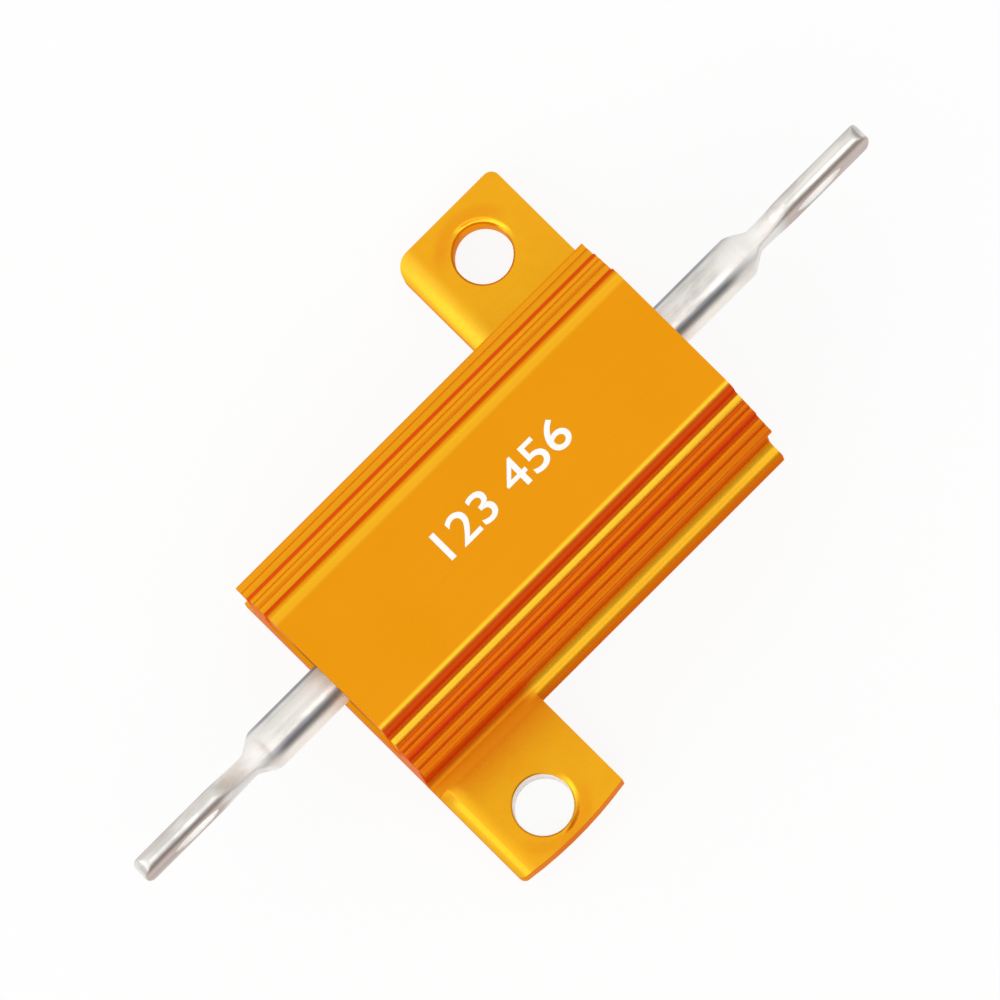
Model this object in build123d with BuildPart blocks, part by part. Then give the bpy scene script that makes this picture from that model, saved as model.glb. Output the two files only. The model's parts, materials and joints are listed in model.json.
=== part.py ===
from build123d import *

import os

# Aluminium-housed wirewound power resistor with two diagonal mounting ears.
# Millimetres. X runs along the leads, Y across the ears, Z up from the mounting face.
# The origin is on the mounting face, under the middle of the housing.

# Bore and what it is potted with
bore_diameter = 7.3
bore_chamfer = 0.15
cement_recess = 0.3
cement_fit = 0.01

# Housing, an extruded bar that is then milled to its plan
body_length = 19.0
body_height = 10.5
crown_wall = 0.85
side_wall = 1.1
flange_thickness = 1.6
flange_ledge = 0.7
wall_foot_radius = 0.35
flange_edge_round = 0.3

# Stepped cooling ribs, from the crown down to the widest rib
crown_half_width = 3.35
crown_edge_radius = 0.5
tread_landing = 0.44
upper_rib_drop = 1.2
lower_rib_drop = 2.5
rib_thickness = 0.85
rib_tip_radius = 0.12
fine_step_width = 0.33
fine_step_drop = 0.22
fine_step_tip_radius = 0.13
upper_root_radius = 0.3
lower_root_radius = 0.28
root_radius = 0.08

# Mounting ears, one at each end on opposite sides, measured from their screw holes
ear_width = 5.55
hole_diameter = 2.4
hole_rim_chamfer = 0.08
hole_to_end = 2.65
hole_y = 8.55
ear_far_margin = 2.2
ear_near_margin = 1.7
ear_near_crown = 0.22
ear_far_corner = 0.8
ear_far_end_corner = 0.4
ear_near_corner = 0.28
ear_far_roll_width = 0.85
ear_far_roll_depth = 0.34
ear_near_roll_width = 0.48
ear_near_roll_depth = 0.24

# Winding former, end caps and resistance wire
core_diameter = 4.2
core_setback = 3.0
core_end_chamfer = 0.2
cap_wall = 0.3
cap_floor = 0.4
cap_depth = 1.8
cap_edge_chamfer = 0.2
cap_fit = 0.02
wire_diameter = 0.19
winding_turns = 7
wire_sides = 6
winding_fit = 0.01
element_fit = 0.03

# Solder terminals: round rods whose ends are pressed flat on edge and pierced
rod_diameter = 1.92
rod_exposed = 3.75
rod_fit = 0.02
shoulder_length = 0.9
shoulder_radius = 0.45
spread_length = 2.05
spread_steps = 5
neck_to_eye = 3.25
eye_to_end = 2.75
eye_length = 2.3
eye_height = 2.2
blade_thickness = 0.8
blade_height = 3.4
press_bulge = 0.8
blade_end_crown = 0.18
blade_end_corner = 0.55
blade_lean = 1.5
left_terminal_shift = 0.15
right_terminal_shift = 0.72
left_terminal_slide = -0.22
right_terminal_slide = 0.22

half_length = body_length / 2
bore_radius = bore_diameter / 2
axis_height = body_height - crown_wall - bore_radius
wall_half_width = bore_radius + side_wall
flange_half_width = wall_half_width + flange_ledge
upper_step_half_width = crown_half_width + tread_landing
upper_rib_half_width = upper_step_half_width + 2 * fine_step_width
lower_step_half_width = upper_rib_half_width + tread_landing
lower_rib_half_width = lower_step_half_width + fine_step_width
ear_root_x = half_length - ear_width
ear_far_reach = hole_y + ear_far_margin
ear_near_reach = hole_y + ear_near_margin
hole_x = half_length - hole_to_end

core_radius = core_diameter / 2
core_length = body_length - 2 * core_setback
rod_radius = rod_diameter / 2
cap_inner_radius = core_radius + cap_fit
cap_outer_radius = cap_inner_radius + cap_wall
cap_rim_x = core_length / 2 - cap_depth
cap_face_x = core_length / 2 + cap_floor
winding_radius = core_radius + winding_fit + wire_diameter / 2
winding_length = 2 * cap_rim_x - wire_diameter
winding_pitch = winding_length / winding_turns
element_radius = max(cap_outer_radius, winding_radius + wire_diameter / 2)
cement_length = body_length - 2 * cement_recess

shoulder_x = half_length + rod_exposed
neck_x = shoulder_x + shoulder_length
blade_x = neck_x + spread_length
eye_x = neck_x + neck_to_eye
terminal_reach = eye_x + eye_to_end


def rib_points():
    """Half of the housing's section, from the middle of the crown down to the foot of its wall."""
    upper = body_height - upper_rib_drop
    lower = body_height - lower_rib_drop
    upper_foot = upper - 2 * fine_step_drop
    lower_foot = lower - fine_step_drop
    return [
        ((0, body_height), 0),
        ((crown_half_width, body_height), crown_edge_radius),
        ((crown_half_width, upper), upper_root_radius),
        ((upper_step_half_width, upper), fine_step_tip_radius),
        ((upper_step_half_width, upper - fine_step_drop), root_radius),
        ((upper_rib_half_width - fine_step_width, upper - fine_step_drop), fine_step_tip_radius),
        ((upper_rib_half_width - fine_step_width, upper_foot), root_radius),
        ((upper_rib_half_width, upper_foot), rib_tip_radius),
        ((upper_rib_half_width, lower), lower_root_radius),
        ((lower_step_half_width, lower), fine_step_tip_radius),
        ((lower_step_half_width, lower_foot), root_radius),
        ((lower_rib_half_width, lower_foot), rib_tip_radius),
        ((lower_rib_half_width, lower - rib_thickness), rib_tip_radius),
        ((wall_half_width, lower - rib_thickness - fine_step_width), root_radius),
        ((wall_half_width, flange_thickness), wall_foot_radius),
    ]


def ear_outline(root_x, end_x, reach, crown, corners):
    """Plan of one ear: two straight sides and an outer edge that may bow out by crown."""
    root_y = flange_half_width / 2
    with BuildSketch() as outline:
        with BuildLine():
            Polyline((root_x, reach), (root_x, root_y), (end_x, root_y), (end_x, reach))
            if crown > 0:
                ThreePointArc((end_x, reach), ((root_x + end_x) / 2, reach + crown), (root_x, reach))
            else:
                Line((end_x, reach), (root_x, reach))
        make_face()
        for place, radius in zip((0, -1), corners):
            if radius > 0:
                corner = outline.vertices().group_by(Axis.Y)[-1].sort_by(Axis.X)[place]
                fillet(corner, radius)
    return outline.sketch


def side_roll(edge_x, inward, width, depth, start_y, end_y):
    """Cutter that rounds the top edge of an ear's side where the press drew it down."""
    top = flange_thickness
    reach = 0.5
    with BuildPart() as cutter:
        with BuildSketch(Plane.XZ.offset(-start_y)):
            with BuildLine():
                tangent = (edge_x + inward * width, top)
                low = (edge_x, top - depth)
                arc = TangentArc(tangent, low, tangent=(-inward, 0))
                Polyline(arc @ 1, (edge_x - inward * reach, top - depth))
                Polyline(
                    (edge_x - inward * reach, top - depth),
                    (edge_x - inward * reach, top + reach),
                    (edge_x + inward * width, top + reach),
                    tangent,
                )
            make_face()
        extrude(amount=-(end_y - start_y))
    return cutter.part


far_ear = ear_outline(
    ear_root_x, half_length, ear_far_reach, 0, (ear_far_corner, ear_far_end_corner)
)
near_ear = ear_outline(
    ear_root_x, half_length, ear_near_reach - ear_near_crown, ear_near_crown, (0, ear_near_corner)
).rotate(Axis.Z, 180)
far_roll = side_roll(
    ear_root_x, 1, ear_far_roll_width, ear_far_roll_depth, flange_half_width, ear_far_reach + 1
)
near_roll = side_roll(
    -half_length, 1, ear_near_roll_width, ear_near_roll_depth, -ear_near_reach - 1, -flange_half_width
)

with BuildPart() as housing:
    with BuildSketch(Plane.YZ.offset(-half_length)):
        with BuildLine():
            points = [point for point, _ in rib_points()]
            radii = [radius for _, radius in rib_points()][1:]
            widest = max(ear_far_reach, ear_near_reach)
            tail = [(widest, flange_thickness), (widest, 0), (0, 0)]
            FilletPolyline(*points, *tail, radius=[*radii, 0, 0])
            Line((0, 0), (0, body_height))
        make_face()
        mirror(about=Plane.YZ)
    extrude(amount=body_length)
    # The ears are what the mill leaves of the two flanges
    with BuildSketch():
        Rectangle(body_length, 2 * flange_half_width)
        add(far_ear)
        add(near_ear)
    extrude(amount=body_height, mode=Mode.INTERSECT)
    # The milled edge of each flange is rounded between its ear and the far end of the bar
    milled_edges = (
        housing.edges()
        .filter_by(Axis.X)
        .filter_by_position(Axis.Z, flange_thickness - 0.01, flange_thickness + 0.01)
        .filter_by(lambda edge: abs(abs(edge.center().Y) - flange_half_width) < 0.01)
    )
    fillet(milled_edges, flange_edge_round)
    add([far_roll, near_roll], mode=Mode.SUBTRACT)
    with Locations((hole_x, hole_y, 0), (-hole_x, -hole_y, 0)):
        Cylinder(hole_diameter / 2, 3 * flange_thickness, mode=Mode.SUBTRACT)
    rims = housing.edges().filter_by(GeomType.CIRCLE).filter_by(
        lambda edge: abs(edge.radius - hole_diameter / 2) < 0.01
    )
    chamfer(rims, hole_rim_chamfer)
    with BuildSketch(Plane.YZ.offset(-half_length)):
        with Locations((0, axis_height)):
            Circle(bore_radius)
    extrude(amount=body_length, mode=Mode.SUBTRACT)
    bore_rims = housing.edges().filter_by(GeomType.CIRCLE).filter_by(
        lambda edge: abs(edge.radius - bore_radius) < 0.01
    )
    chamfer(bore_rims, bore_chamfer)
housing.part.label = "housing"

with BuildPart() as ceramic_core:
    with BuildSketch(Plane.YZ.offset(-core_length / 2)):
        with Locations((0, axis_height)):
            Circle(core_radius)
    extrude(amount=core_length)
    chamfer(ceramic_core.edges().filter_by(GeomType.CIRCLE), core_end_chamfer)
ceramic_core.part.label = "ceramic_core"


def end_cap(side):
    """Drawn steel cup pressed over one end of the core, its floor against the core's end face."""
    with BuildPart() as cap:
        with BuildSketch(Plane(origin=(0, 0, axis_height), x_dir=(1, 0, 0), z_dir=(0, -1, 0))):
            with BuildLine():
                Polyline(
                    (side * core_length / 2, 0),
                    (side * core_length / 2, cap_inner_radius),
                    (side * cap_rim_x, cap_inner_radius),
                    (side * cap_rim_x, cap_outer_radius),
                    (side * (cap_face_x - cap_edge_chamfer), cap_outer_radius),
                    (side * cap_face_x, cap_outer_radius - cap_edge_chamfer),
                    (side * cap_face_x, 0),
                    (side * core_length / 2, 0),
                )
            make_face()
        revolve(axis=Axis((0, 0, axis_height), (1, 0, 0)))
    return cap


left_end_cap = end_cap(-1)
left_end_cap.part.label = "left_end_cap"
right_end_cap = end_cap(1)
right_end_cap.part.label = "right_end_cap"

with BuildPart() as resistance_winding:
    with BuildLine() as coil:
        Helix(
            winding_pitch,
            winding_length,
            winding_radius,
            center=(-winding_length / 2, 0, axis_height),
            direction=(1, 0, 0),
        )
    with BuildSketch(Plane(origin=coil.line @ 0, z_dir=coil.line % 0)):
        RegularPolygon(wire_diameter / 2, wire_sides)
    sweep(is_frenet=True)
resistance_winding.part.label = "resistance_winding"


def terminal(side, shift, slide):
    """Rod welded to a cap's face, its outer end pressed to an upright blade with an eye.

    It stands off the axis by shift, and its shoulder lies further out by slide.
    """
    root_x = cap_face_x - slide
    half_press = blade_thickness / 2
    past_end = terminal_reach + 1
    clear = 2 * blade_height
    with BuildPart() as lug:
        # Round rod
        with BuildSketch(Plane.YZ.offset(root_x)):
            Circle(rod_radius)
        extrude(amount=shoulder_x - root_x)
        # From round to the spread blade, with the sides still bulging where the dies then stop
        stations = [(shoulder_x, rod_diameter, rod_diameter), (neck_x, rod_diameter, rod_diameter)]
        for step in range(1, spread_steps + 1):
            share = step / spread_steps
            ease = share * share * (3 - 2 * share)
            height = rod_diameter + (blade_height - rod_diameter) * ease
            thickness = rod_diameter + (blade_thickness + press_bulge - rod_diameter) * ease
            stations.append((neck_x + (blade_x - neck_x) * share, height, thickness))
        for x, height, thickness in stations:
            with BuildSketch(Plane(origin=(x, 0, 0), x_dir=(0, 0, 1), z_dir=(1, 0, 0))):
                Ellipse(height / 2, thickness / 2)
        loft()
        with BuildSketch(Plane(origin=(blade_x, 0, 0), x_dir=(0, 0, 1), z_dir=(1, 0, 0))):
            Ellipse(blade_height / 2, (blade_thickness + press_bulge) / 2)
        extrude(amount=past_end - blade_x)
        # The dies' own outline, seen from above
        with BuildSketch(Plane.XY.offset(-clear)):
            with BuildLine():
                FilletPolyline(
                    (root_x, rod_radius + 0.2),
                    (shoulder_x - 0.2, rod_radius + 0.2),
                    (neck_x, half_press),
                    (past_end + 1, half_press),
                    radius=shoulder_radius,
                )
                Polyline(
                    (past_end + 1, half_press), (past_end + 1, 0), (root_x, 0),
                    (root_x, rod_radius + 0.2),
                )
            make_face()
            mirror(about=Plane.XZ)
        extrude(amount=2 * clear, mode=Mode.INTERSECT)
        # End and eye, seen from the side
        with BuildSketch(Plane.XZ.offset(-clear)) as side_view:
            with BuildLine():
                ThreePointArc(
                    (terminal_reach - blade_end_crown, -blade_height / 2),
                    (terminal_reach, 0),
                    (terminal_reach - blade_end_crown, blade_height / 2),
                )
                Polyline(
                    (terminal_reach - blade_end_crown, blade_height / 2),
                    (root_x, blade_height / 2),
                    (root_x, -blade_height / 2),
                    (terminal_reach - blade_end_crown, -blade_height / 2),
                )
            make_face()
            corners = side_view.vertices().group_by(Axis.X)[-1]
            fillet(corners, blade_end_corner)
        extrude(amount=2 * clear, mode=Mode.INTERSECT)
        with BuildSketch(Plane.XZ.offset(-clear)):
            with Locations((eye_x, 0)):
                SlotOverall(eye_length, eye_height)
        extrude(amount=2 * clear, mode=Mode.SUBTRACT)
    with BuildPart() as placed:
        with Locations((slide, shift, axis_height)):
            add(lug.part, rotation=(blade_lean, 0, 0))
        if side < 0:
            mirror(about=Plane.YZ, mode=Mode.REPLACE)
    return placed


left_terminal = terminal(-1, left_terminal_shift, left_terminal_slide)
left_terminal.part.label = "left_terminal"
right_terminal = terminal(1, right_terminal_shift, right_terminal_slide)
right_terminal.part.label = "right_terminal"

with BuildPart() as cement_fill:
    with BuildSketch(Plane.YZ.offset(-cement_length / 2)):
        with Locations((0, axis_height)):
            Circle(bore_radius - cement_fit)
    extrude(amount=cement_length)
    with BuildSketch(Plane.YZ.offset(-cap_face_x)):
        with Locations((0, axis_height)):
            Circle(element_radius + element_fit)
    extrude(amount=2 * cap_face_x, mode=Mode.SUBTRACT)
    for side, shift in ((-1, left_terminal_shift), (1, right_terminal_shift)):
        with BuildSketch(Plane.YZ.offset(side * cap_face_x)):
            with Locations((shift, axis_height)):
                Circle(rod_radius + rod_fit)
        extrude(amount=side * (cement_length / 2 - cap_face_x), mode=Mode.SUBTRACT)
cement_fill.part.label = "cement_fill"

os.makedirs("parts", exist_ok=True)
export_step(housing.part, "parts/housing.step")
export_step(cement_fill.part, "parts/cement_fill.step")
export_step(ceramic_core.part, "parts/ceramic_core.step")
export_step(resistance_winding.part, "parts/resistance_winding.step")
export_step(left_end_cap.part, "parts/left_end_cap.step")
export_step(right_end_cap.part, "parts/right_end_cap.step")
export_step(left_terminal.part, "parts/left_terminal.step")
export_step(right_terminal.part, "parts/right_terminal.step")
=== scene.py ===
"""Aluminium-housed wirewound power resistor: its finishes, printed figures and studio."""
import json
import math
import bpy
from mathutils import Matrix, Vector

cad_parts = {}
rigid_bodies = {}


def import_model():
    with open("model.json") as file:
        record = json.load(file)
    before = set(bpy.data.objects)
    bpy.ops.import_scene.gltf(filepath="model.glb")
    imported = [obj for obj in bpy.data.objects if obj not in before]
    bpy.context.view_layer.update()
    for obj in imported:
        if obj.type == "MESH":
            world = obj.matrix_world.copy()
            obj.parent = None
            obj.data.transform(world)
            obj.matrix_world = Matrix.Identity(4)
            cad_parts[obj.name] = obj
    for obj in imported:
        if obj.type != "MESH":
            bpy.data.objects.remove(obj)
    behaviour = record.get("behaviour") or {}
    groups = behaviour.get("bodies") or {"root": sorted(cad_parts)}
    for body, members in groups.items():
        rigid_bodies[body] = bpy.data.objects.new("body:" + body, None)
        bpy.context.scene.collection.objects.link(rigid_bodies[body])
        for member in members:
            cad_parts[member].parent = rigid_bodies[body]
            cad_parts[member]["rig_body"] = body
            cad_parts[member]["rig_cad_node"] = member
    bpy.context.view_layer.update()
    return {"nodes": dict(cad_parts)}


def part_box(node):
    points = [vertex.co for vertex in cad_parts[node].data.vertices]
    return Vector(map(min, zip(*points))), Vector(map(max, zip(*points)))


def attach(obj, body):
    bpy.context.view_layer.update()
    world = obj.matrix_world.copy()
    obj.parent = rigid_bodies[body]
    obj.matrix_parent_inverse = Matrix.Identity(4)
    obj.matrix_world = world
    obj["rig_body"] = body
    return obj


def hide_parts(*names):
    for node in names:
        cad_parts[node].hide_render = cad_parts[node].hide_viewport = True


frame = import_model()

from types import SimpleNamespace

import bpy
from mathutils import Matrix, Vector

MM = 0.001
nodes = frame["nodes"]

# View, fitted to the edges seen in the photograph
VIEW_TILT_X = math.radians(2.51)
VIEW_TILT_Y = math.radians(7.60)
VIEW_TURN = math.radians(45.269)
VIEW_DISTANCE = 612.4 * MM
VIEW_LENS = 570.6
SENSOR = 36.0
AIM_RIGHT = 0.046 * MM
AIM_UP = -0.021 * MM

# Finishes as linear colours
GOLD = (0.86, 0.45, 0.006)
GOLD_DEEP = (0.82, 0.405, 0.004)
GOLD_LIGHT = (0.90, 0.485, 0.010)
# Painted highlight: a lighter gold laid where the lamps' highlights fall
GOLD_PAINTED_HIGHLIGHT = (0.95, 0.58, 0.035)
GOLD_EDGE = (0.92, 0.34, 0.03)
DYE = (0.68, 0.040, 0.005)
# Painted light: a plain white laid on the near screw hole's wall
HOLE_WALL_PAINTED_LIGHT = (0.93, 0.92, 0.90)
TIN = (0.78, 0.76, 0.725)
TIN_DULL = (0.60, 0.58, 0.55)
# Painted highlight: a plain white on the blades' eye walls and a lighter tin at the necks
TIN_PAINTED_HIGHLIGHT = (0.95, 0.94, 0.92)
# Painted shade: dark tin along the rods' far edges and in a band below their middles
TIN_RIM = (0.24, 0.25, 0.275)
# Painted reflection: a pale warm tin along the rods' near edges
TIN_PAINTED_LOW_REFLECTION = (0.93, 0.87, 0.80)
# Painted reflection: a pinkish brown on the blades' pressed flats
TIN_PAINTED_FLAT_REFLECTION = (0.46, 0.335, 0.29)
CEMENT = (0.66, 0.62, 0.56)
# Darker cement for random patches, and painted shade in the pores
CEMENT_DARK = (0.38, 0.35, 0.31)
STEATITE = (0.82, 0.79, 0.73)
NICHROME = (0.36, 0.34, 0.32)
CAP_STEEL = (0.55, 0.54, 0.52)
INK = (0.93, 0.93, 0.91)
FLOOR_WHITE = (0.86, 0.86, 0.86)
GLOW = (1.0, 1.0, 1.0)

# Bands that run along the housing on both sides, where painted shade is laid as dark red lines of
# more dye: middle, half width and soft edge, in millimetres from its middle line
CROWN_EDGE = (3.28, 0.10, 0.03)
RISER_FOOT = (3.44, 0.05, 0.04)
STEP_ROOT = (3.88, 0.05, 0.04)
RIB_TIP = (4.40, 0.10, 0.03)

# Bands on one side only, minus for the front, where painted shade or painted highlights are laid
CROWN_FRONT = (-3.27, 0.18, 0.05)
CROWN_LIP = (-3.06, 0.12, 0.08)
# Painted highlight on the crown's far edge
CROWN_PAINTED_HIGHLIGHT = (2.86, 0.20, 0.10)
FAR_INNER_LINE = (3.40, 0.10, 0.03)
FAR_OUTER_LINE = (4.46, 0.12, 0.03)
FRONT_LANDING = (-3.64, 0.15, 0.05)
FRONT_STEPS = (-4.52, 0.70, 0.08)
FLANGE_FOOT = (-4.88, 0.26, 0.12)
FLANGE = (-5.10, 0.42, 0.06)
FLANGE_TOP = (-5.05, 0.25, 0.13)

# Where a place of the housing begins and where it is reached in full, in millimetres
RIBS_UP_FROM = (7.0, 7.3)
BASE_UP_TO = (2.1, 1.8)
OFF_UNDERSIDE = (0.01, 0.03)
FAR_RIBS_FROM = (3.3, 3.5)
EARS_FROM = (5.3, 5.8)
PAST_NEAR_EAR = (-4.6, -3.6)
BY_NEAR_EAR = (-6.4, -5.5)
FLANGE_SLOPE = (-5.5, -4.6)
NEAR_ROLL_ACROSS = (-5.4, -6.2)
NEAR_ROLL_ALONG = (-8.5, -9.7)
FAR_ROLL_ACROSS = (5.3, 5.4)
FAR_ROLL_ALONG = (5.1, 4.5)

# Screw holes: their middles from the housing's middle, and the rings round them, in millimetres
HOLE_ALONG = 6.85
HOLE_ACROSS = 8.55
HOLE_WALL = (1.235, 1.205)
HOLE_RIM = (1.50, 1.24)
RIM_LIT_SIDE = (0.7, 1.6)
HOLE_HALO = (1.66, 0.26, 0.20)
HALO_SIDE = (0.2, 1.2)

# Share of the surface that the matt dye covers, on plain faces and at most
PLAIN_DYE = 0.34
MOST_DYE = 0.9
DYE_ROUGHNESS = 0.6

# Terminals in millimetres, across from the rod's middle or along from the housing's middle
ROD_FAR_RIM = (0.70, 0.85)
ROD_NEAR_RIM = (-0.60, -0.72)
ROD_SHADE = (-0.47, 0.13, 0.08)
ROD_SHADE_ENDS = (13.2, 14.0)
NECK = (14.0, 1.2, 0.6)
PRESSED_FROM = (15.2, 16.0)
FLAT_SIDES = (0.26, 0.38)
EYE_TO_END = 2.75
EYE_WALL = (1.22, 1.14)
INSIDE_BLADE = (0.42, 0.30)

# Printed figures on the crown
FIGURES = "123 456"
FIGURE_HEIGHT = 1.34 * MM
FIGURE_LENGTH = 6.75 * MM
FIGURE_MIDDLE = (0.46 * MM, 0.27 * MM)
INK_THICKNESS = 0.012 * MM
INK_SINK = 0.0024 * MM
TYPE_DEPTH = 0.01
TYPE_GROWTH = 0.012

# Small roundings of the housing and the lugs, and the angles in degrees past which edges stay sharp
HOUSING_EDGE = 0.035 * MM
HOUSING_SHARP = 30.0
LUG_CELL = 0.045 * MM
LUG_SMOOTHING = 28
LUG_FACES_KEPT = 0.45
LUG_SHARP = 60.0

# Studio: the floor, how the surroundings darken along an axis (where the fall starts, where it
# ends and the light that is left), and the soft boxes (side, lean from overhead in degrees, size
# in metres and strength)
FLOOR_SIZE = 4.0
FLOOR_DROP = 0.02 * MM
FLOOR_GLOW = 0.9
SURROUNDINGS = (1.02, 1.01, 1.0)
FALLS = (
    ("Y", -0.66, -0.88, 0.27),
    ("X", 0.55, 0.90, 0.45),
    ("Z", 0.55, 0.00, 0.85),
)
SOFT_BOX_DISTANCE = 0.5
SOFT_BOXES = (
    ("front_box", (0, -1), 25, (0.42, 0.26), 0.68),
    ("left_box", (-1, 0), 52, (0.46, 0.42), 0.80),
    ("back_box", (0, 1), 32, (0.42, 0.16), 0.15),
)


class Value:
    """A node socket that plain arithmetic can be written with."""

    def __init__(self, build, socket):
        self.build = build
        self.socket = socket

    def maths(self, operation, other=0.0, swap=False):
        first, second = (other, self) if swap else (self, other)
        return self.build.node("ShaderNodeMath", {"operation": operation}, {0: first, 1: second})

    def __add__(self, other):
        return self.maths("ADD", other)

    __radd__ = __add__

    def __sub__(self, other):
        return self.maths("SUBTRACT", other)

    def __rsub__(self, other):
        return self.maths("SUBTRACT", other, swap=True)

    def __mul__(self, other):
        return self.maths("MULTIPLY", other)

    __rmul__ = __mul__

    def __pow__(self, other):
        return self.maths("POWER", other)

    def __abs__(self):
        return self.maths("ABSOLUTE")

    def clamp(self, highest=1.0):
        return self.build.node("ShaderNodeClamp", {}, {"Value": self, "Max": highest})


class Build:
    """One node tree, built from the kinds of node that finishes and surroundings share."""

    def __init__(self, tree):
        self.tree = tree

    def node(self, kind, settings, values, output=0):
        """Adds a node with its settings and the values or links of its sockets."""
        made = self.tree.nodes.new(kind)
        for setting, value in settings.items():
            setattr(made, setting, value)
        for key, value in values.items():
            self.feed(made.inputs[key], value)
        return Value(self, made.outputs[output])

    def feed(self, socket, value):
        if isinstance(value, Value):
            self.tree.links.new(value.socket, socket)
        elif isinstance(value, tuple) and socket.type == "RGBA":
            socket.default_value = (*value, 1.0)
        else:
            socket.default_value = value

    def between(self, value, low, high):
        """0 before low, 1 past high, smooth in between. It falls where low is the larger."""
        values = {"Value": value, "From Min": low, "From Max": high}
        return self.node("ShaderNodeMapRange", {"interpolation_type": "SMOOTHSTEP"}, values)

    def band(self, value, middle, half_width, soft):
        """1 within half_width of the middle and 0 beyond it, with a soft edge."""
        return 1 - self.between(abs(value - middle), half_width - soft, half_width + soft)

    def mix(self, factor, first, second):
        """From the first colour at factor 0 to the second at factor 1."""
        values = {0: factor, 6: first, 7: second}
        return self.node("ShaderNodeMix", {"data_type": "RGBA"}, values, 2)


class Finish(Build):
    """One material and the nodes that make it up."""

    def __init__(self, name):
        self.material = bpy.data.materials.new(name)
        self.material.use_nodes = True
        super().__init__(self.material.node_tree)
        self.shader = self.tree.nodes["Principled BSDF"]

    def set(self, **sockets):
        for name, value in sockets.items():
            self.feed(self.shader.inputs[name.replace("_", " ")], value)

    def place(self, scale=(1, 1, 1)):
        """Object coordinates in millimetres, stretched by scale."""
        where = self.node("ShaderNodeTexCoord", {}, {}, "Object")
        values = {"Vector": where, "Scale": tuple(part / MM for part in scale)}
        return self.node("ShaderNodeMapping", {"vector_type": "POINT"}, values)

    def axis(self, name):
        """One object coordinate in millimetres."""
        return self.node("ShaderNodeSeparateXYZ", {}, {0: self.place()}, name)

    def noise(self, size, detail=3.0, rough=0.55, scale=(1, 1, 1)):
        """Cloudy noise from 0 to 1 whose blotches are about size millimetres across."""
        values = {
            "Vector": self.place(scale),
            "Scale": 1.0 / size,
            "Detail": detail,
            "Roughness": rough,
        }
        return self.node("ShaderNodeTexNoise", {}, values, "Fac")

    def specks(self, size):
        """Distance to the nearest speck, in cells of size millimetres."""
        values = {"Vector": self.place(), "Scale": 1.0 / size}
        return self.node("ShaderNodeTexVoronoi", {}, values, "Distance")

    def bump(self, height, depth, over=None):
        """Normal from a height field that is depth millimetres deep, laid over another normal."""
        values = {"Height": height, "Distance": depth * MM}
        if over is not None:
            values["Normal"] = over
        return self.node("ShaderNodeBump", {}, values)

    def cover(self, share, layer):
        """Lays another shader over the finish, which shows through by what the share leaves."""
        under = Value(self, self.shader.outputs[0])
        blend = self.node("ShaderNodeMixShader", {}, {0: share, 1: under, 2: layer})
        self.feed(self.tree.nodes["Material Output"].inputs[0], blend)


def darker(colour, share):
    return tuple(share * part for part in colour)


def housing_places(finish):
    """Masks from 0 to 1 for the places of the housing where the dye differs, and where painted shade
    and painted highlights are laid.
    """
    along = finish.axis("X")
    across = finish.axis("Y")
    height = finish.axis("Z")
    outward = abs(across)
    at = SimpleNamespace()
    at.ribs = finish.between(height, *RIBS_UP_FROM)
    at.base = finish.between(height, *BASE_UP_TO) * finish.between(height, *OFF_UNDERSIDE)

    at.crown_edge = finish.band(outward, *CROWN_EDGE)
    at.crown_front = finish.band(across, *CROWN_FRONT)
    at.crown_lip = finish.band(across, *CROWN_LIP)
    at.crown_worn = finish.band(across, *CROWN_PAINTED_HIGHLIGHT)
    at.riser_foot = finish.band(outward, *RISER_FOOT)
    at.step_root = finish.band(outward, *STEP_ROOT)
    at.rib_tip = finish.band(outward, *RIB_TIP)
    at.far_lines = finish.band(across, *FAR_INNER_LINE) + finish.band(across, *FAR_OUTER_LINE)
    at.landing = finish.band(across, *FRONT_LANDING)
    at.front_steps = finish.band(across, *FRONT_STEPS)
    at.far_ribs = at.ribs * finish.between(across, *FAR_RIBS_FROM)

    at.past_ear = finish.between(along, *PAST_NEAR_EAR)
    at.by_ear = at.base * finish.between(across, *BY_NEAR_EAR) * (1 - at.past_ear)
    at.flange = at.base * finish.band(across, *FLANGE)
    at.flange_top = at.base * finish.band(across, *FLANGE_TOP)
    at.flange_foot = at.base * finish.band(across, *FLANGE_FOOT)
    at.flange_slope = finish.between(across, *FLANGE_SLOPE)
    at.ears = at.base * finish.between(outward, *EARS_FROM)
    at.near_roll = finish.between(across, *NEAR_ROLL_ACROSS) * finish.between(along, *NEAR_ROLL_ALONG)
    at.far_roll = finish.between(across, *FAR_ROLL_ACROSS) * finish.between(along, *FAR_ROLL_ALONG)
    add_hole_places(finish, at, along, across)
    return at


def add_hole_places(finish, at, along, across):
    """Masks for the lit rims of the screw holes, the dyed halos outside them and the near wall, where
    painted light is laid.

    The two ears stand on opposite sides, turned half round, so one sign serves both holes.
    """
    ear_side = 2 * finish.between(across, -0.1, 0.1) - 1
    right = along - HOLE_ALONG * ear_side
    up = across - HOLE_ACROSS * ear_side
    radius = (right**2 + up**2) ** 0.5
    out = up * ear_side
    at.rim = at.base * finish.between(radius, *HOLE_RIM) * finish.between(right + out, *RIM_LIT_SIDE)
    at.halo = at.base * finish.band(radius, *HOLE_HALO) * finish.between(out, *HALO_SIDE)
    # Painted light: the near hole's wall, painted plain white
    at.wall = at.base * finish.between(radius, *HOLE_WALL) * finish.between(across, 0.0, -0.1)


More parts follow.
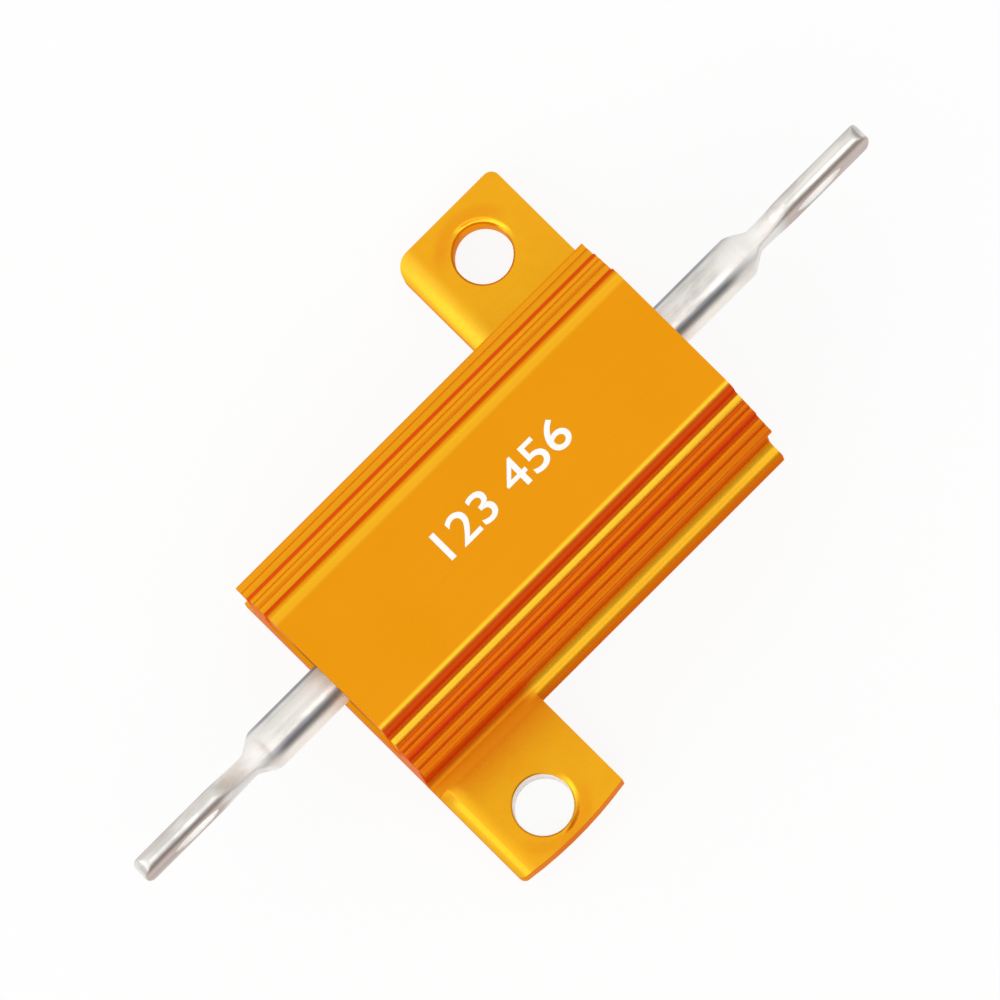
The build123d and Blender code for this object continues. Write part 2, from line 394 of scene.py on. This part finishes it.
def anodised():
    """Satin dyed anodising: the sheen of gold metal under a matt dye.

    More dye is laid round the crown's outer edges, along the tips of the upper ribs and in the fine
    steps of the front side, as painted shade in dark red lines. Less dye and a lighter gold are laid on
    the landing beside the crown, on the flange and on the ears' rolled edges, as painted highlights.
    The near screw hole's wall is painted plain white, as painted light.
    """
    finish = Finish("orange_gold_anodising")
    cloud = finish.noise(5.0, detail=2.0)
    smears = finish.noise(1.1, detail=2.0)
    grain = finish.noise(0.07, detail=2.0)
    lines = finish.noise(0.09, detail=3.0, scale=(0.02, 1.0, 1.0))
    at = housing_places(finish)
    # Painted highlight on the ears' rolled edges
    rolls = (0.65 * at.near_roll + 0.8 * at.far_roll) * (0.4 + smears)

    tone = finish.between(0.75 * cloud + 0.25 * grain, 0.3, 0.7)
    colour = finish.mix(0.5, finish.mix(tone, GOLD_DEEP, GOLD_LIGHT), GOLD)
    # Painted highlight: a lighter gold on the landing, crown lip, crown's far edge, far ribs, ears,
    # flange, screw hole rims and rolled edges
    worn = (
        at.ribs * (at.landing + at.crown_lip + 0.4 * at.crown_worn)
        + 0.22 * at.far_ribs
        + 0.3 * at.ears
        + 0.8 * at.flange_top * at.past_ear
        + 0.25 * at.by_ear
        + 0.9 * at.rim
        + rolls
    )
    colour = finish.mix(worn.clamp(), colour, GOLD_PAINTED_HIGHLIGHT)
    rough = at.ribs * at.landing + at.far_ribs + rolls
    slope = 0.09 * at.flange_slope * at.past_ear - 0.17 * at.near_roll - 0.08 * at.rim
    texture = finish.bump(0.7 * grain + 0.3 * lines, 0.0028)
    relief = finish.bump(slope * at.base, 1.0, over=texture)
    finish.set(
        # The near hole's wall is painted plain white as painted light, not metal
        Base_Color=finish.mix(at.wall, colour, HOLE_WALL_PAINTED_LIGHT),
        Metallic=1 - at.wall,
        Specular_Tint=GOLD_EDGE,
        Roughness=0.22 + 0.10 * grain + 0.06 * cloud + 0.2 * at.flange + 0.12 * rough,
        Normal=relief,
    )

    # Painted shade as more dye in dark red lines along the crown edges, rib tips, front steps and
    # grooves, and painted highlights as less dye on the crown's far edge, the landing and the crown lip
    rib_shade_and_highlight = (
        0.50 * at.crown_edge
        + 0.24 * at.crown_front
        + 0.45 * at.rib_tip
        + 0.34 * at.front_steps
        + 0.25 * at.riser_foot
        + 0.25 * at.step_root
        + 0.50 * at.far_lines
        - 0.18 * at.crown_worn
        - 0.26 * at.landing
        - 0.10 * at.crown_lip
    )
    # Painted highlight as less dye on the flange top, painted shade as more dye at the flange foot and
    # beside the near ear
    flange_shade_and_highlight = (
        (0.34 * at.flange - 0.58 * at.flange_top) * at.past_ear
        + 0.22 * at.flange_foot * (1 - at.past_ear)
        + 0.07 * at.by_ear
        - 0.08 * at.base
    )
    # Dye that varies at random on the ears and in halos round the holes, and painted highlights as less
    # dye on the lit rims and rolled edges
    ear_dye_and_highlight = (
        0.16 * at.ears * (smears - 0.5)
        - 0.05 * at.ears
        + 0.14 * at.halo
        - 0.30 * at.rim
        - 0.16 * rolls
    )
    uneven = 0.16 * (cloud - 0.5) + 0.06 * (lines - 0.5) + 0.12 * (grain - 0.5)
    # The dye layer's share: plain dye with random unevenness, plus the painted shade and painted
    # highlights above
    dye = PLAIN_DYE + at.ribs * rib_shade_and_highlight + flange_shade_and_highlight + ear_dye_and_highlight + uneven
    dye = (dye * (1 - at.wall)).clamp(MOST_DYE)
    coat = {"Base Color": DYE, "Roughness": DYE_ROUGHNESS, "Specular IOR Level": 0.0, "Normal": relief}
    finish.cover(dye, finish.node("ShaderNodeBsdfPrincipled", {}, coat))
    return finish.material


def tinned(name, eye):
    """Bright tin with drawing streaks along the rod and soft smears, and painted light: painted shade
    in dark bands, painted reflections on its near edge and pressed flats, and a painted highlight
    at the neck.

    The eye is the middle of the hole in the blade, in millimetres, and the rod's middle lies as
    far across as it does. The eye's wall is painted white as a painted highlight.
    """
    finish = Finish(name)
    streaks = finish.noise(0.12, detail=4.0, scale=(0.06, 1.0, 1.0))
    smears = finish.noise(0.8, detail=3.0, scale=(0.45, 1.0, 1.0))
    grain = finish.noise(0.05, detail=2.0)
    from_eye = finish.axis("X") - eye[0]
    across = finish.axis("Y") - eye[1]
    above_eye = finish.axis("Z") - eye[2]
    outward = abs(finish.axis("X"))
    thickness = abs(across)

    dull = finish.between(0.75 * smears + 0.25 * streaks, 0.42, 0.68)
    far_rim = finish.between(across, *ROD_FAR_RIM)
    near_rim = finish.between(across, *ROD_NEAR_RIM)
    shade = finish.band(across, *ROD_SHADE) * (1 - finish.between(outward, *ROD_SHADE_ENDS))
    neck = finish.band(outward, *NECK)
    pressed = finish.between(thickness, *FLAT_SIDES) * finish.between(outward, *PRESSED_FROM)
    radius = (from_eye**2 + above_eye**2) ** 0.5
    eye_wall = finish.between(radius, *EYE_WALL) * finish.between(thickness, *INSIDE_BLADE)

    # Painted shade: a dark band below the rod's middle
    colour = finish.mix(shade * (0.5 + 0.6 * smears), finish.mix(dull, TIN, TIN_DULL), TIN_RIM)
    # Painted shade along the far edge and a painted reflection along the near edge
    colour = finish.mix(near_rim, finish.mix(far_rim, colour, TIN_RIM), TIN_PAINTED_LOW_REFLECTION)
    # Painted highlight at the neck and painted reflection on the pressed flats
    colour = finish.mix(pressed * 0.85, finish.mix(neck * 0.5, colour, TIN_PAINTED_HIGHLIGHT), TIN_PAINTED_FLAT_REFLECTION)
    finish.set(
        # Painted highlight: the eye's wall painted white
        Base_Color=finish.mix(eye_wall, colour, TIN_PAINTED_HIGHLIGHT),
        Metallic=1 - eye_wall,
        Roughness=0.25 + 0.12 * dull + 0.06 * grain + 0.1 * pressed + 0.3 * neck,
        Normal=finish.bump(0.5 * streaks + 0.4 * smears + 0.1 * grain, 0.010),
    )
    return finish.material


def potting():
    """Pale matt cement with sand grains, darker damp patches and pores, with painted shade in the
    pores.
    """
    finish = Finish("potting_cement")
    patches = finish.noise(1.6, detail=4.0)
    sand = finish.noise(0.09, detail=3.0, rough=0.7)
    pores = 1 - finish.between(finish.specks(0.35), 0.05, 0.2)
    tone = finish.between(0.6 * patches + 0.4 * sand, 0.35, 0.65)
    colour = finish.mix(tone, CEMENT_DARK, CEMENT)
    finish.set(
        # Painted shade: the pores darkened
        Base_Color=finish.mix(0.5 * pores, colour, CEMENT_DARK),
        Roughness=0.85 + 0.1 * sand,
        Normal=finish.bump(sand + 1.5 * patches - 0.8 * pores, 0.09),
    )
    return finish.material


def ceramic():
    """White fired steatite."""
    finish = Finish("steatite")
    grain = finish.noise(0.15, detail=4.0)
    finish.set(
        Base_Color=finish.mix(grain, darker(STEATITE, 0.88), STEATITE),
        Roughness=0.5 + 0.2 * grain,
        Normal=finish.bump(grain, 0.008),
    )
    return finish.material


def drawn_metal(name, colour, roughness):
    """Plain drawn metal with fine lines along X."""
    finish = Finish(name)
    lines = finish.noise(0.06, detail=3.0, scale=(0.1, 1.0, 1.0))
    finish.set(
        Base_Color=finish.mix(lines, darker(colour, 0.8), colour),
        Metallic=1.0,
        Roughness=roughness + 0.15 * lines,
        Normal=finish.bump(lines, 0.004),
    )
    return finish.material


def screen_ink():
    """White ink with a slightly uneven coat."""
    finish = Finish("white_ink")
    coat = finish.noise(0.12, detail=3.0)
    finish.set(
        Base_Color=finish.mix(coat, darker(INK, 0.93), INK),
        Roughness=0.45 + 0.15 * coat,
        Normal=finish.bump(coat, 0.003),
    )
    return finish.material


def top_of(node):
    """Height of a node's highest point."""
    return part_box(node)[1].z


def eye_middle(node, end):
    """Middle of a blade's eye in millimetres. The blade ends at low X for end 0, at high X for 1."""
    low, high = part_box(node)
    inward = (1, -1)[end]
    along = (low, high)[end].x / MM + inward * EYE_TO_END
    return along, (low.y + high.y) / 2 / MM, (low.z + high.z) / 2 / MM


def select_only(piece):
    bpy.ops.object.select_all(action="DESELECT")
    piece.select_set(True)
    bpy.context.view_layer.objects.active = piece


def paint(piece, material):
    piece.data.materials.clear()
    piece.data.materials.append(material)


def apply_modifier(piece, kind, **settings):
    """Adds one modifier, sets it and applies it."""
    change = piece.modifiers.new(kind.lower(), kind)
    for setting, value in settings.items():
        setattr(change, setting, value)
    bpy.ops.object.modifier_apply(modifier=change.name)


def merged_copy(node, name):
    """The node's own form as a new piece, with its loose triangles joined and flat faces whole."""
    select_only(nodes[node])
    bpy.ops.object.duplicate()
    piece = bpy.context.active_object
    piece.name = name
    piece.parent = None
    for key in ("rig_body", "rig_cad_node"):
        if key in piece:
            del piece[key]
    select_only(piece)
    bpy.ops.object.mode_set(mode="EDIT")
    bpy.ops.mesh.select_all(action="SELECT")
    bpy.ops.mesh.remove_doubles(threshold=0.0005 * MM)
    bpy.ops.mesh.dissolve_limited(angle_limit=math.radians(0.5))
    bpy.ops.object.mode_set(mode="OBJECT")
    return piece


def finish_piece(piece, node, material, sharp):
    """Evens the shading up to the sharp edges, paints the piece and puts it in the node's place."""
    bpy.ops.object.shade_smooth_by_angle(angle=math.radians(sharp))
    apply_modifier(piece, "WEIGHTED_NORMAL", keep_sharp=True, weight=80)
    paint(piece, material)
    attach(piece, "root")
    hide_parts(node)


def anodised_housing(material):
    """The housing with its edges broken a little, as tumbling leaves them."""
    piece = merged_copy("housing", "anodised_housing")
    apply_modifier(
        piece,
        "BEVEL",
        width=HOUSING_EDGE,
        segments=2,
        limit_method="ANGLE",
        angle_limit=math.radians(HOUSING_SHARP),
    )
    finish_piece(piece, "housing", material, HOUSING_SHARP)


def solder_lug(node, name, material):
    """A terminal whose pressed forms run softly into each other under the tin."""
    piece = merged_copy(node, name)
    apply_modifier(piece, "REMESH", mode="VOXEL", voxel_size=LUG_CELL)
    apply_modifier(piece, "SMOOTH", factor=0.5, iterations=LUG_SMOOTHING)
    apply_modifier(piece, "DECIMATE", ratio=LUG_FACES_KEPT)
    finish_piece(piece, node, material, LUG_SHARP)


def printed_figures(top):
    """Plain figures printed on the crown, as thin raised ink that is sunk in a little."""
    bpy.ops.object.text_add(location=(0, 0, 0))
    figures = bpy.context.active_object
    figures.name = "printed_figures"
    figures.data.body = FIGURES
    figures.data.align_x = "CENTER"
    figures.data.align_y = "CENTER"
    figures.data.extrude = TYPE_DEPTH
    bpy.ops.object.convert(target="MESH")
    bpy.ops.object.mode_set(mode="EDIT")
    bpy.ops.mesh.select_all(action="SELECT")
    bpy.ops.mesh.remove_doubles(threshold=0.0001)
    bpy.ops.transform.shrink_fatten(value=TYPE_GROWTH)
    bpy.ops.object.mode_set(mode="OBJECT")
    corners = [vertex.co for vertex in figures.data.vertices]
    low = Vector(tuple(min(corner[i] for corner in corners) for i in range(3)))
    high = Vector(tuple(max(corner[i] for corner in corners) for i in range(3)))
    size = high - low
    wanted = (FIGURE_LENGTH, FIGURE_HEIGHT, INK_THICKNESS + INK_SINK)
    scale = [wanted[i] / size[i] for i in range(3)]
    lift = top + (INK_THICKNESS - INK_SINK) / 2
    place = Matrix.Translation((*FIGURE_MIDDLE, lift)) @ Matrix.Diagonal((*scale, 1.0))
    figures.data.transform(place @ Matrix.Translation(-(high + low) / 2))
    paint(figures, screen_ink())
    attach(figures, "root")


def floor():
    """White sheet just under the object. It keeps the shadow, and the camera and metal see it white."""
    bpy.ops.mesh.primitive_plane_add(size=FLOOR_SIZE, location=(0, 0, -FLOOR_DROP))
    sheet = bpy.context.active_object
    sheet.name = "floor"
    finish = Finish("floor_white")
    finish.set(Base_Color=FLOOR_WHITE, Roughness=0.9)
    kinds = ("Is Camera Ray", "Is Glossy Ray", "Is Transmission Ray")
    seen = sum(finish.node("ShaderNodeLightPath", {}, {}, kind) for kind in kinds)
    glow = finish.node("ShaderNodeEmission", {}, {"Color": GLOW})
    finish.cover(seen.clamp() * FLOOR_GLOW, glow)
    paint(sheet, finish.material)


def soft_box(name, side, lean, size, strength):
    """Rectangular lamp that leans from overhead to one side and faces the object."""
    lamp = bpy.data.lights.new(name, "AREA")
    lamp.shape = "RECTANGLE"
    lamp.size, lamp.size_y = size
    lamp.energy = strength * size[0] * size[1] * math.pi
    holder = bpy.data.objects.new(name, lamp)
    bpy.context.scene.collection.objects.link(holder)
    sideways = math.sin(math.radians(lean))
    away = Vector((side[0] * sideways, side[1] * sideways, math.cos(math.radians(lean))))
    holder.location = away * SOFT_BOX_DISTANCE
    holder.rotation_euler = away.to_track_quat("Z", "Y").to_euler()


def studio():
    """Pale surroundings that darken low in front, on the right and downward, and soft boxes."""
    world = bpy.data.worlds.new("studio")
    bpy.context.scene.world = world
    world.use_nodes = True
    around = Build(world.node_tree)
    direction = around.node("ShaderNodeTexCoord", {}, {}, "Generated")
    light = 1.0
    for axis, start, end, left in FALLS:
        toward = around.node("ShaderNodeSeparateXYZ", {}, {0: direction}, axis)
        light = light * (1 - (1 - left) * around.between(toward, start, end))
    background = around.tree.nodes["Background"]
    around.feed(background.inputs["Color"], SURROUNDINGS)
    around.feed(background.inputs["Strength"], light)
    for box in SOFT_BOXES:
        soft_box(*box)


def camera():
    """Looks down along the photograph's line of sight, so that the terminals run up to the right."""
    target = Vector((0, 0, top_of("housing")))
    back = Vector((-math.sin(VIEW_TILT_X), -math.sin(VIEW_TILT_Y), 0))
    back.z = math.sqrt(1 - back.x**2 - back.y**2)
    right = Vector((0, 1, 0)).cross(back).normalized()
    up = back.cross(right)
    turned_right = right * math.cos(VIEW_TURN) - up * math.sin(VIEW_TURN)
    turned_up = right * math.sin(VIEW_TURN) + up * math.cos(VIEW_TURN)
    lens = bpy.data.cameras.new("camera")
    lens.lens = VIEW_LENS
    lens.sensor_width = SENSOR
    lens.clip_start = 0.05
    lens.clip_end = 20
    holder = bpy.data.objects.new("camera", lens)
    bpy.context.scene.collection.objects.link(holder)
    place = Matrix((turned_right, turned_up, back)).transposed().to_4x4()
    place.translation = target + back * VIEW_DISTANCE + right * AIM_RIGHT + up * AIM_UP
    holder.matrix_world = place
    bpy.context.scene.camera = holder


camera()
studio()
floor()

gold = anodised()
cap_steel = drawn_metal("cap_steel", CAP_STEEL, 0.3)
anodised_housing(gold)
solder_lug("left_terminal", "left_lug", tinned("left_tin", eye_middle("left_terminal", 0)))
solder_lug("right_terminal", "right_lug", tinned("right_tin", eye_middle("right_terminal", 1)))
paint(nodes["cement_fill"], potting())
paint(nodes["ceramic_core"], ceramic())
paint(nodes["resistance_winding"], drawn_metal("nichrome", NICHROME, 0.35))
paint(nodes["left_end_cap"], cap_steel)
paint(nodes["right_end_cap"], cap_steel)
printed_figures(top_of("housing"))

bpy.context.scene.view_settings.view_transform = "Standard"
